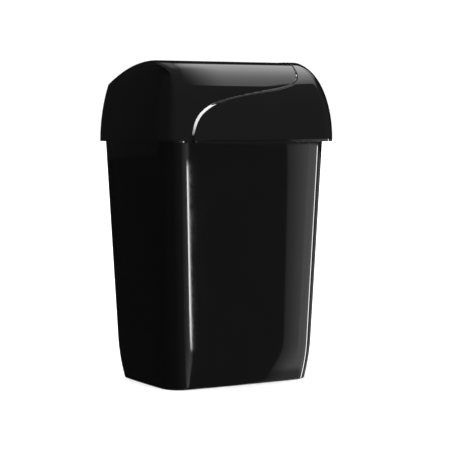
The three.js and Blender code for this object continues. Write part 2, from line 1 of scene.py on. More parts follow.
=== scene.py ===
"""Looks of a black washroom waste bin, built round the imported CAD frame.

Lengths are in metres. Angles are in radians, and in degrees in the stage's values. +Z is up
and the front faces -Y.
"""
import json
import math
from collections import Counter

import bmesh
import bpy
import numpy as np
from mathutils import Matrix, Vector
from mathutils.kdtree import KDTree


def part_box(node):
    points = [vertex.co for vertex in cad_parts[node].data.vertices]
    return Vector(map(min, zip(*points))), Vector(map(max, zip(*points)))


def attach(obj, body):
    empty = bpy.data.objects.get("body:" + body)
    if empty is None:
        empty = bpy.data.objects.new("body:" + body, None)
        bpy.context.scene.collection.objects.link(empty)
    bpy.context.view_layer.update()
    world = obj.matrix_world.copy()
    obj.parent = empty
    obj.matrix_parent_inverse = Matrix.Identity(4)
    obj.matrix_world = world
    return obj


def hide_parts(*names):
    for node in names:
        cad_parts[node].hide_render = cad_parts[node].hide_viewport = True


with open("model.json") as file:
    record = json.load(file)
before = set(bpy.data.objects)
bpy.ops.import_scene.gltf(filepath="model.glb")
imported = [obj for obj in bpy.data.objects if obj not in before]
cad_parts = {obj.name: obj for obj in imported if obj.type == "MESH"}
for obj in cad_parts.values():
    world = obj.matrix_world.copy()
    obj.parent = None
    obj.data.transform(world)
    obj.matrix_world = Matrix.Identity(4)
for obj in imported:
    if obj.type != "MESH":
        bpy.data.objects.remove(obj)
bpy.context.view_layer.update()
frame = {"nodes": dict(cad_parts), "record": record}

# ---- Dimensions ----

# Whole bin
HEIGHT = 0.660
RIM_Z = 0.4965
BACK_Y = 0.135
FRONT_BOW = 0.0026

# Container
BODY_HALF_BACK = 0.205
BODY_HALF_FRONT = 0.184
BODY_DEPTH = 0.250
BODY_FRONT_Y = BACK_Y - BODY_DEPTH
BODY_TAPER = 0.0214
BODY_WALL = 0.003
BODY_TOP = 0.510
BODY_BASE = 0.0004
BODY_FLOOR = 0.005
BODY_CORNER = 0.042
BODY_BACK_CORNER = 0.002
BODY_BASE_ROUND = 0.0015
BODY_RIM_ROUND = 0.0014
BODY_FLOOR_ROUND = 0.008
SMALLEST_CORNER = 0.004
SMALLEST_BACK_CORNER = 0.0012
SKIRT_HEIGHT = 0.086
SKIRT_INSET = 0.007
SKIRT_START = 0.08

# Hood
HOOD_DEPTH = 0.270
HOOD_HALF_BACK = 0.217
HOOD_HALF_FRONT = 0.1965
HOOD_WALL = 0.004
HOOD_HEIGHT = HEIGHT - RIM_Z
HOOD_FRONT_Y = BACK_Y - HOOD_DEPTH + FRONT_BOW
RIDGE_SETBACK = 0.121
RIDGE_Y = HOOD_FRONT_Y + RIDGE_SETBACK
FRONT_POWER = 2.42
KINK_HEIGHT = 0.1175
KINK = KINK_HEIGHT / HOOD_HEIGHT
ROOF_POWER = 2.1
CHEEK_LEAN = 0.036
SHOULDER_LEAN = 0.0125
SHOULDER_POWER = 7.2
HOOD_CORNER_RIM = 0.0385
HOOD_CORNER_TOP = 0.030
HOOD_BACK_ROUND = 0.004
HOOD_RIM_ROUND = 0.0005
ROOF_INSET = 0.3

# Where the hood gets shallow its corners take at most a share of its depth, blended in over
# a length. The back round grows from the kink over a share of the height.
HOOD_CORNER_SHARE = 0.55
HOOD_CORNER_BLEND = 0.012
HOOD_BACK_SHARE = 0.4
HOOD_BACK_BLEND = 0.01
HOOD_BACK_GROWTH = 0.12

# Front panel on the hood, the cutter for its seat, and the knots of its wave edge as (x, z)
# from the rim to the ridge
PANEL_THICKNESS = 0.0017
PANEL_GAP = 0.0003
PANEL_BACK_Y = -0.002
PANEL_RIM_ROUND = 0.0004
PANEL_STAND = 0.0002
SEAT_HEIGHT = 0.008
SEAT_DROP = 0.005
WAVE_EDGE = [
    (-0.1385, 0.4965), (-0.1388, 0.505), (-0.1356, 0.5215), (-0.1292, 0.539), (-0.1208, 0.551),
    (-0.1065, 0.5627), (-0.0852, 0.5740), (-0.0605, 0.5817), (-0.018, 0.5905), (0.040, 0.6005),
    (0.080, 0.608), (0.105, 0.616), (0.118, 0.626), (0.125, 0.641), (0.130, 0.652), (0.1313, 0.660),
]
WAVE_STEEP_END = 4
WAVE_TURN = 12
WAVE_STEPS = 24

# Crest of the panel along its wave edge: distance along the edge, height, ramp width
CREST = [
    (0.000, 0.0048, 0.0060),
    (0.025, 0.0054, 0.0070),
    (0.060, 0.0064, 0.0090),
    (0.100, 0.0056, 0.0084),
    (0.135, 0.0040, 0.0060),
    (0.160, 0.0036, 0.0054),
    (0.280, 0.0032, 0.0052),
    (0.320, 0.0016, 0.0040),
    (0.350, 0.0008, 0.0030),
    (0.440, 0.0004, 0.0026),
]
CREST_FALL_START = 0.02
CREST_FALL = 0.14
CREST_RAMP_POWER = 1.5

# Hood hinge
HINGE_Y = 0.115
HINGE_Z = 0.6125
HINGE_X = 0.120
PIN_HOLE = 0.0026
PIN_HOLE_HALF = 0.015
KNUCKLE_HALF = 0.007
BARREL_RADIUS = 0.0065
LUG_SLOT_HALF = 0.014
LUG_SLOT_FRONT = 0.004
LUG_SLOT_BELOW = 0.012
LUG_SLOT_TOP = 0.0076
LUG_SLOT_STEP = 0.0055
LUG_SLOT_STEP_TOP = 0.014
WEB_TOP = 0.011
WEB_BACK = 0.004
WEB_FOOT = 0.005
LIP_RADIUS = 0.0116
LIP_WALL = 0.0037
LIP_TURN = math.radians(80)
LIP_SINK = 0.0005
ROOF_END_Y = HINGE_Y + 0.0057
ROOF_END_HALF = 0.192
ROOF_END_LOW = 0.020

# Stops inside the hood
STOP_X = 0.070
STOP_Y = 0.020
STOP_HALF = 0.002
STOP_BOTTOM = BODY_TOP + 0.004
STOP_HEIGHT = 0.034
STOP_FRONT_END = BODY_FRONT_Y + 0.0055
STOP_FRONT_SLANT = 0.012
STOP_SIDE_END = 0.199
STOP_SIDE_SLANT = 0.004

# Bag ring
RING_HINGE_X = 0.060
RING_HINGE_Y = 0.126
RING_HINGE_Z = 0.503
RING_BOTTOM = 0.500
RING_THICKNESS = 0.005
RING_WIDTH = 0.013
RING_SIDE_GAP = 0.0045
RING_BACK_Y = 0.120
RING_BACK_CORNER = 0.006
RING_EDGE_ROUND = 0.0012
RING_PIN_HOLE = 0.0021
RING_PIN_PAST = 0.0015
RING_EYE_RADIUS = 0.0038
RING_EYE_HALF = 0.0045
RING_EYE_TURN = 1.4 * math.pi
RING_TONGUE = 0.002
GRIP_HALF = 0.022
GRIP_HEIGHT = 0.014
GRIP_THICKNESS = 0.003
GRIP_SETBACK = 0.004
GRIP_CORNER = 0.006
GRIP_ROOT = 0.002

# Ears and ledges in the container that carry the bag ring
EAR_OFFSET = 0.0065
EAR_HALF = 0.0015
EAR_RISE = 0.0045
LEDGE_HALF = 0.010
LEDGE_HEIGHT = 0.012
LEDGE_REACH = 0.005
LEDGE_GAP = 0.0003
LEDGE_SIDE_Y = 0.030

# Foot pads' pockets, and holes for the rear panel's screws in the container's back wall
PAD_RADIUS = 0.012
PAD_HEIGHT = 0.004
PAD_GAP = 0.0003
PAD_PAST = 0.003
SCREW_HOLE = 0.0023
SCREW_HOLE_Y = (0.1258, 0.140)

# How far fittings sink into the wall that they grow from, and how far cutters pass the outside
SINK = 0.001
CUT_Y = 0.150
CUT_PAST = 0.010

# ---- Mesh building ----

SHARP_ANGLE = math.radians(32)
WELD = 1e-5
TINY = 1e-6


def finish_mesh(name, points, faces):
    """Object from points and faces, with doubles merged, normals out and smooth shading."""
    mesh = bpy.data.meshes.new(name)
    mesh.from_pydata([tuple(p) for p in points], [], faces)
    bm = bmesh.new()
    bm.from_mesh(mesh)
    bmesh.ops.remove_doubles(bm, verts=bm.verts, dist=WELD)
    bmesh.ops.dissolve_degenerate(bm, edges=bm.edges, dist=WELD / 10)
    bmesh.ops.recalc_face_normals(bm, faces=bm.faces)
    bm.to_mesh(mesh)
    bm.free()
    smooth(mesh)
    return placed(name, mesh)


def placed(name, data):
    """New object for data, linked to the scene."""
    thing = bpy.data.objects.new(name, data)
    bpy.context.scene.collection.objects.link(thing)
    return thing


def smooth(mesh):
    mesh.shade_smooth()
    mesh.set_sharp_from_angle(angle=SHARP_ANGLE)


class Skin:
    """Outer points, the inner points behind them, and the faces between rows of them."""

    def __init__(self):
        self.outer = []
        self.inner = []
        self.faces = []

    def row(self, pairs):
        start = len(self.outer)
        for outer, inner in pairs:
            self.outer.append(outer)
            self.inner.append(inner)
        return list(range(start, len(self.outer)))

    def bridge(self, low, high):
        for i in range(len(low) - 1):
            self.faces.append((low[i], low[i + 1], high[i + 1], high[i]))

    def bridge_all(self, rows):
        for low, high in zip(rows, rows[1:]):
            self.bridge(low, high)

    def welded(self):
        """Faces with points that share a place in the outer skin joined into one."""
        tree = KDTree(len(self.outer))
        for index, point in enumerate(self.outer):
            tree.insert(point, index)
        tree.balance()
        target = []
        for index, point in enumerate(self.outer):
            nearest = min(found[1] for found in tree.find_range(point, WELD))
            target.append(target[nearest] if nearest < index else index)
        kept = []
        for face in self.faces:
            corners = [target[i] for i in face]
            corners = [c for i, c in enumerate(corners) if c != corners[i - 1]]
            if len(set(corners)) == len(corners) and len(corners) > 2:
                kept.append(corners)
        return kept

    def solid(self, name):
        """Closed wall: outer skin, inner skin and the faces that join their open edges."""
        outer_faces = self.welded()
        count = len(self.outer)
        edges = Counter(frozenset((f[i - 1], f[i])) for f in outer_faces for i in range(len(f)))
        faces = [list(f) for f in outer_faces]
        faces += [[i + count for i in reversed(f)] for f in outer_faces]
        for edge, uses in edges.items():
            if uses == 1:
                a, b = sorted(edge)
                faces.append([b, a, a + count, b + count])
        return finish_mesh(name, self.outer + self.inner, faces)


def loft(name, loops, ring=False):
    """Closed solid through closed loops of equal length, with flat ends unless it is a ring."""
    count = len(loops[0])
    points = [p for loop in loops for p in loop]
    faces = [] if ring else [list(range(count))]
    for row in range(len(loops) if ring else len(loops) - 1):
        low = row * count
        high = (row + 1) % len(loops) * count
        for i in range(count):
            j = (i + 1) % count
            faces.append((low + i, low + j, high + j, high + i))
    if not ring:
        faces.append(list(range(len(points) - count, len(points))))
    return finish_mesh(name, points, faces)


def prism(name, profile, axis, start, end):
    """Outline of two coordinates pushed along the third axis."""
    def place(a, b, along):
        return {"x": (along, a, b), "y": (a, along, b), "z": (a, b, along)}[axis]

    return loft(name, [[Vector(place(a, b, along)) for a, b in profile] for along in (start, end)])


def block(name, low, high):
    outline = [(low[0], low[1]), (high[0], low[1]), (high[0], high[1]), (low[0], high[1])]
    return prism(name, outline, "z", low[2], high[2])


def circle(centre, radius, steps=40, start=0.0, turn=2 * math.pi):
    spread = steps if turn >= 2 * math.pi else steps - 1
    return [
        (centre[0] + radius * math.cos(start + turn * i / spread),
         centre[1] + radius * math.sin(start + turn * i / spread))
        for i in range(steps)
    ]


def joined(name, pieces):
    """One object holding the meshes of pieces, which are removed."""
    bm = bmesh.new()
    for piece in pieces:
        bm.from_mesh(piece.data)
    mesh = bpy.data.meshes.new(name)
    bm.to_mesh(mesh)
    bm.free()
    for piece in pieces:
        bpy.data.objects.remove(piece)
    return placed(name, mesh)


def combine(piece, operation, tools):
    """Boolean of piece with all tools together; the tools don't touch each other."""
    tool = joined("tool", tools)
    change = piece.modifiers.new("combine", "BOOLEAN")
    change.operation = operation
    change.solver = "EXACT"
    change.object = tool
    apply_modifiers(piece)
    bpy.data.objects.remove(tool)
    smooth(piece.data)


def apply_modifiers(piece):
    bpy.context.view_layer.update()
    graph = bpy.context.evaluated_depsgraph_get()
    mesh = bpy.data.meshes.new_from_object(piece.evaluated_get(graph))
    mesh.name = piece.name
    piece.modifiers.clear()
    piece.data = mesh


# ---- Plan outline shared by container, hood and bag ring ----

STEP = 1e-4
BACK_STEPS = 6
SIDE_STEPS = 14
CORNER_STEPS = 18
FRONT_STEPS = 14
BACK_SUPPORT = 0.004


def smooth_min(a, b, blend):
    near = max(blend - abs(a - b), 0) / blend
    return min(a, b) - near * near * blend / 4


def half_outline(half_width, y_back, y_front, radius, back_radius, bow):
    """Right half of an outline as (x, y, normal x, normal y).

    It runs from the back round the corner to where the front's curve begins. Also returns
    the front's curve as a function of x.
    """
    def lean(y):
        return (half_width(y + STEP) - half_width(y - STEP)) / (2 * STEP)

    corner_x = half_width(y_front + radius) - radius

    def front(x):
        return y_front - bow * (1 - (x / corner_x) ** 2)

    def front_slope(x):
        return 2 * bow * x / corner_x ** 2

    side_y = y_front + radius
    front_x = corner_x
    for _ in range(12):
        slope = lean(side_y)
        size = math.hypot(1, slope)
        centre_x = half_width(side_y) - radius / size
        tilt = front_slope(front_x)
        front_x = centre_x + radius * tilt / math.hypot(1, tilt)
        centre_y = front(front_x) + radius / math.hypot(1, tilt)
        side_y = centre_y - radius * slope / size
    back_y = y_back - back_radius
    for _ in range(6):
        slope = lean(back_y)
        back_y = y_back - back_radius - back_radius * slope / math.hypot(1, slope)
    back_x = half_width(back_y) - back_radius / math.hypot(1, lean(back_y))

    points = []
    end = math.atan2(-lean(back_y), 1)
    for i in range(BACK_STEPS):
        angle = math.pi / 2 + (end - math.pi / 2) * i / BACK_STEPS
        x, y = math.cos(angle), math.sin(angle)
        points.append((back_x + back_radius * x, y_back - back_radius + back_radius * y, x, y))
    for i in range(SIDE_STEPS):
        y = back_y + (side_y - back_y) * i / SIDE_STEPS
        size = math.hypot(1, lean(y))
        points.append((half_width(y), y, 1 / size, -lean(y) / size))
    start = math.atan2(-lean(side_y), 1)
    end = math.atan2(-1, front_slope(front_x))
    for i in range(CORNER_STEPS + 1):
        angle = start + (end - start) * i / CORNER_STEPS
        x, y = math.cos(angle), math.sin(angle)
        points.append((centre_x + radius * x, centre_y + radius * y, x, y))
    return points, front_x, front, front_slope


def front_points(end_x, start_x, front, front_slope, shares):
    """Points of the front's curve from end_x to start_x, at shares of the way."""
    points = []
    for share in shares:
        x = end_x + (start_x - end_x) * share
        size = math.hypot(1, front_slope(x))
        points.append((x, front(x), front_slope(x) / size, -1 / size))
    return points


def mirrored(points):
    return [(-x, y, -nx, ny) for x, y, nx, ny in reversed(points)]


def closed_outline(half_width, y_back, y_front, radius, back_radius, bow):
    """Whole outline as (x, y), from the back's right end round the front to its left end."""
    half, end_x, front, slope = half_outline(
        half_width, y_back, y_front, radius, back_radius, bow)
    shares = [i / FRONT_STEPS for i in range(1, FRONT_STEPS + 1)]
    right = half + front_points(end_x, 0, front, slope, shares)
    support = right[0][0] - BACK_SUPPORT
    outline = right + mirrored(right)[1:]
    return [(support, y_back)] + [(x, y) for x, y, _, _ in outline] + [(-support, y_back)]


# ---- Container ----

def body_half_width(y):
    share = (BACK_Y - y) / BODY_DEPTH
    return BODY_HALF_BACK - (BODY_HALF_BACK - BODY_HALF_FRONT) * share * share


def body_loop(z, inset):
    """Container's outline at z, moved in by inset."""
    skirt = SKIRT_INSET * max(0, 1 - z / SKIRT_HEIGHT) ** 2
    shrink = BODY_TAPER * max(0, 1 - z / RIM_Z) + skirt + inset
    outline = closed_outline(
        lambda y: body_half_width(y) - shrink,
        BACK_Y - shrink,
        BODY_FRONT_Y + shrink,
        max(BODY_CORNER - inset, SMALLEST_CORNER),
        max(BODY_BACK_CORNER - inset, SMALLEST_BACK_CORNER),
        FRONT_BOW,
    )
    return [Vector((x, y, z)) for x, y in outline]


def rounding(radius, steps):
    """Quarter turn as (inwards, downwards) from the wall to the edge, ends included."""
    turns = [math.pi / 2 * i / steps for i in range(steps + 1)]
    return [(radius * (1 - math.cos(a)), radius * (1 - math.sin(a))) for a in turns]


def body_solid():
    edge = reversed(rounding(BODY_BASE_ROUND, 4))
    base = [body_loop(BODY_BASE + lift, inset) for inset, lift in edge]
    low = [SKIRT_HEIGHT * (SKIRT_START + (1 - SKIRT_START) * i / 9) for i in range(10)]
    high = [SKIRT_HEIGHT + (RIM_Z - SKIRT_HEIGHT) * i / 8 for i in range(1, 9)]
    outside = [body_loop(z, 0) for z in low + high]
    rim = rounding(BODY_RIM_ROUND, 4)
    rim_out = [body_loop(BODY_TOP - drop, inset) for inset, drop in rim]
    rim_in = [body_loop(BODY_TOP - drop, BODY_WALL - inset) for inset, drop in reversed(rim)]
    inside = [body_loop(z, BODY_WALL) for z in reversed(low[3:] + high)]
    floor = BODY_BASE + BODY_FLOOR
    turn = rounding(BODY_FLOOR_ROUND, 5)
    fillet = [body_loop(floor + lift, BODY_WALL + inset) for inset, lift in turn]
    return loft("bin_body", base + outside + rim_out + rim_in + inside + fillet)


def body_fittings():
    """Ears for the bag ring's pins and ledges that it rests on."""
    reach = BODY_WALL + RING_SIDE_GAP + LEDGE_REACH
    top = RING_BOTTOM - LEDGE_GAP
    low = top - LEDGE_HEIGHT
    wall = body_half_width(LEDGE_SIDE_Y)
    pieces = []
    for side in (-1, 1):
        x = side * RING_HINGE_X
        for offset in (-EAR_OFFSET, EAR_OFFSET):
            pieces.append(block(
                "ear",
                (x + offset - EAR_HALF, RING_HINGE_Y - RING_EYE_RADIUS, RIM_Z),
                (x + offset + EAR_HALF, BACK_Y - SINK, RING_HINGE_Z + EAR_RISE)))
        pieces.append(block(
            "ledge",
            (x - LEDGE_HALF, BODY_FRONT_Y, low),
            (x + LEDGE_HALF, BODY_FRONT_Y + reach, top)))
        ends = sorted((side * (wall - BODY_WALL + SINK), side * (wall - reach)))
        pieces.append(block(
            "ledge",
            (ends[0], LEDGE_SIDE_Y - LEDGE_HALF, low),
            (ends[1], LEDGE_SIDE_Y + LEDGE_HALF, top)))
    return pieces


def centre_of(node):
    low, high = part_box(node)
    return (low + high) / 2


def body_holes():
    """Pockets for the pads, bores for the ring's pins and holes for the rear panel's screws."""
    tools = []
    for end in ("front", "back"):
        for side in ("left", "right"):
            centre = centre_of(f"foot_pad_{end}_{side}")
            outline = circle((centre.x, centre.y), PAD_RADIUS + PAD_GAP)
            tools.append(prism("pocket", outline, "z", -PAD_PAST, PAD_HEIGHT + PAD_GAP))
    reach = EAR_OFFSET + 2 * EAR_HALF
    for x in (-RING_HINGE_X, RING_HINGE_X):
        outline = circle((RING_HINGE_Y, RING_HINGE_Z), RING_PIN_HOLE, 24)
        tools.append(prism("bore", outline, "x", x - reach, x + reach))
    for number in range(1, 5):
        centre = centre_of(f"rear_panel_screw_{number}")
        outline = circle((centre.x, centre.z), SCREW_HOLE, 24)
        tools.append(prism("hole", outline, "y", *SCREW_HOLE_Y))
    return tools


def make_body():
    body = body_solid()
    combine(body, "UNION", body_fittings())
    combine(body, "DIFFERENCE", body_holes())
    return body


# ---- Hood surface ----

def cheek_lean(share):
    share = min(max(share, 0), 1)
    shoulder = 1 - math.sqrt(1 - share ** SHOULDER_POWER)
    return CHEEK_LEAN * share * share + SHOULDER_LEAN * shoulder


def hood_half_width(y, share):
    along = (BACK_Y - min(y, BACK_Y)) / HOOD_DEPTH
    plan = HOOD_HALF_BACK + (HOOD_HALF_FRONT - HOOD_HALF_BACK) * along * along
    return plan - cheek_lean(share)


def front_profile(share):
    share = min(max(share, 0), 1)
    return RIDGE_SETBACK * (1 - (1 - share ** FRONT_POWER) ** (1 / FRONT_POWER))


def roof_y(share):
    drop = (1 - min(share, 1)) * HOOD_HEIGHT / (HOOD_HEIGHT - KINK_HEIGHT)
    return min(RIDGE_Y + (BACK_Y - RIDGE_Y) * drop ** (1 / ROOF_POWER), BACK_Y)


def roof_share(y):
    """Share of the hood's height at which its roof passes y."""
    back = (y - RIDGE_Y) / (BACK_Y - RIDGE_Y)
    return 1 - (HOOD_HEIGHT - KINK_HEIGHT) / HOOD_HEIGHT * back ** ROOF_POWER


def profile_table():
    """Distance up the front's profile against share of the height, as two arrays."""
    turn = np.linspace(0, math.pi / 2, 4000)
    share = np.sin(turn) ** (2 / FRONT_POWER)
    setback = RIDGE_SETBACK * (1 - np.cos(turn) ** (2 / FRONT_POWER))
    steps = np.hypot(np.diff(share * HOOD_HEIGHT), np.diff(setback))
    return np.concatenate([[0], np.cumsum(steps)]), share


PROFILE_UP, PROFILE_SHARE = profile_table()
PROFILE_END = float(PROFILE_UP[-1])
TILT_REACH = 0.002


def share_at(up):
    return float(np.interp(up, PROFILE_UP, PROFILE_SHARE))


def up_at(share):
    return float(np.interp(share, PROFILE_SHARE, PROFILE_UP))


def profile_tilt(share):
    """Sine and cosine of how far the front leans back at a share of the height."""
    if share >= 1:
        return 1.0, 0.0
    up = up_at(share)
    low = max(up - TILT_REACH, 0)
    high = min(up + TILT_REACH, PROFILE_END)
    climb = (share_at(high) - share_at(low)) * HOOD_HEIGHT
    run = front_profile(share_at(high)) - front_profile(share_at(low))
    size = math.hypot(climb, run)
    return run / size, climb / size


def smooth_step(value):
    value = min(max(value, 0), 1)
    return value * value * (3 - 2 * value)


def hood_level(share, inset, y_end):
    """Half outline of the hood at one level, moved in by inset and cut at y_end."""
    y_front = HOOD_FRONT_Y + inset + front_profile(share) * (1 - inset / RIDGE_SETBACK)
    scale = 1 - ROOF_INSET * inset / (BACK_Y - RIDGE_Y) if share > KINK else 1
    y_back = min(RIDGE_Y + (roof_y(share) - RIDGE_Y) * scale, y_end)
    depth = max(y_back - y_front, 1e-7)
    plan_share = min(max(share, 0), 1)
    corner = HOOD_CORNER_RIM + (HOOD_CORNER_TOP - HOOD_CORNER_RIM) * plan_share - inset
    closed = roof_y(share) < y_end - 1e-9
    back_round = 0
    if closed:
        grow = smooth_step((share - KINK) / HOOD_BACK_GROWTH) if y_end > 0 else 1
        largest = HOOD_BACK_SHARE * depth
        blend = HOOD_BACK_BLEND * grow + TINY
        back_round = max(smooth_min(HOOD_BACK_ROUND * grow + TINY, largest, blend), 0)
    radius = smooth_min(corner, HOOD_CORNER_SHARE * depth, HOOD_CORNER_BLEND)
    radius = max(radius, HOOD_BACK_SHARE * min(depth, corner))
    z = RIM_Z + share * (HOOD_HEIGHT - inset)
    bow = FRONT_BOW * (1 - plan_share)
    half = half_outline(
        lambda y: hood_half_width(y, share) - inset, y_back, y_front, radius, back_round, bow)
    return half, y_back, z


def hood_rows(share, inset, y_end):
    """Wall points of a whole level from left to right, and its roof points back again."""
    (half, end_x, front, slope), y_back, z = hood_level(share, inset, y_end)
    count = 2 * FRONT_STEPS
    shares = [i / count for i in range(1, count)]
    left = [(-x, y, -nx, ny) for x, y, nx, ny in half]
    middle = front_points(-end_x, end_x, front, slope, shares)
    wall = [Vector((x, y, z)) for x, y, _, _ in left + middle + half[::-1]]
    start_x = half[0][0]
    roof = [Vector((start_x - 2 * start_x * s, y_back, z)) for s in [0] + shares + [1]]
    return wall, roof


HOOD_ROWS = 46
KINK_CLEARANCE = 0.01


def hood_wall():
    """The hood's shell, with a rounded rim and an open back."""
    skin = Skin()
    shares = [share_at(PROFILE_END * i / HOOD_ROWS) for i in range(1, HOOD_ROWS)]
    shares = sorted([s for s in shares if abs(s - KINK) > KINK_CLEARANCE] + [KINK]) + [1]
    levels = [(drop / HOOD_HEIGHT, inset) for inset, drop in reversed(rounding(HOOD_RIM_ROUND, 4))]
    levels += [(share, 0) for share in shares]
    walls = []
    roofs = []
    for share, inset in levels:
        outer = hood_rows(share, inset, BACK_Y)
        inner = hood_rows(share, HOOD_WALL - inset, BACK_Y)
        walls.append(skin.row(zip(outer[0], inner[0])))
        if share >= KINK:
            roofs.append(skin.row(zip(outer[1], inner[1])))
    skin.bridge_all(walls)
    skin.bridge_all(roofs)
    return skin.solid("bin_hood")


# ---- Front panel ----

def wave_curve(knots):
    """Smooth curve through knots, as an array of points."""
    knots = [np.array(k, float) for k in knots]
    gaps = [np.linalg.norm(b - a) for a, b in zip(knots, knots[1:])]
    slopes = [(b - a) / g for a, b, g in zip(knots, knots[1:], gaps)]
    tangents = [slopes[0]]
    for i in range(1, len(slopes)):
        share = gaps[i - 1] / (gaps[i - 1] + gaps[i])
        tangents.append(slopes[i - 1] * (1 - share) + slopes[i] * share)
    tangents.append(slopes[-1])
    points = []
    for i, gap in enumerate(gaps):
        for step in range(WAVE_STEPS):
            s = step / WAVE_STEPS
            a = knots[i] * (2 * s ** 3 - 3 * s ** 2 + 1) + knots[i + 1] * (3 * s ** 2 - 2 * s ** 3)
            b = tangents[i] * (s ** 3 - 2 * s ** 2 + s) + tangents[i + 1] * (s ** 3 - s ** 2)
            points.append(a + b * gap)
    points.append(knots[-1])
    return np.array(points)


WAVE_KNOTS = [(x, up_at((z - RIM_Z) / HOOD_HEIGHT)) for x, z in WAVE_EDGE]
WAVE = wave_curve(WAVE_KNOTS)
WAVE_ALONG = np.concatenate([[0], np.cumsum(np.hypot(*np.diff(WAVE, axis=0).T))])
WAVE_SPACING = np.gradient(WAVE_ALONG)
WAVE_HEIGHTS = np.interp(WAVE_ALONG, [row[0] for row in CREST], [row[1] for row in CREST])
WAVE_RAMPS = np.interp(WAVE_ALONG, [row[0] for row in CREST], [row[2] for row in CREST])


def crest_height(x, up):
    """How far the panel stands proud of the hood's plain surface at (x, up).

    Every point of the edge pulls on the place, the near ones most, so the crest falls off
    smoothly inside the edge's bend.
    """
    gaps = np.hypot(WAVE[:, 0] - x, WAVE[:, 1] - up) + TINY
    nearest = int(np.argmin(gaps))
    pull = WAVE_SPACING / gaps ** 4
    height = (pull * WAVE_HEIGHTS).sum() / pull.sum()
    reach = (WAVE_ALONG[-1] / pull.sum()) ** 0.25
    ramp_share = min(gaps[nearest] / WAVE_RAMPS[nearest], 1)
    ramp_height = 1 - (1 - ramp_share) ** CREST_RAMP_POWER
    fall = smooth_step((reach - CREST_FALL_START) / CREST_FALL)
    return float(height * ramp_height * (1 - fall))


PANEL_ROWS = 34
PANEL_COLUMNS = 110
STEEP_COLUMNS = 16
CORNER_COLUMNS = 26
CORNER_ROWS = 26
TOP_ROWS = 4


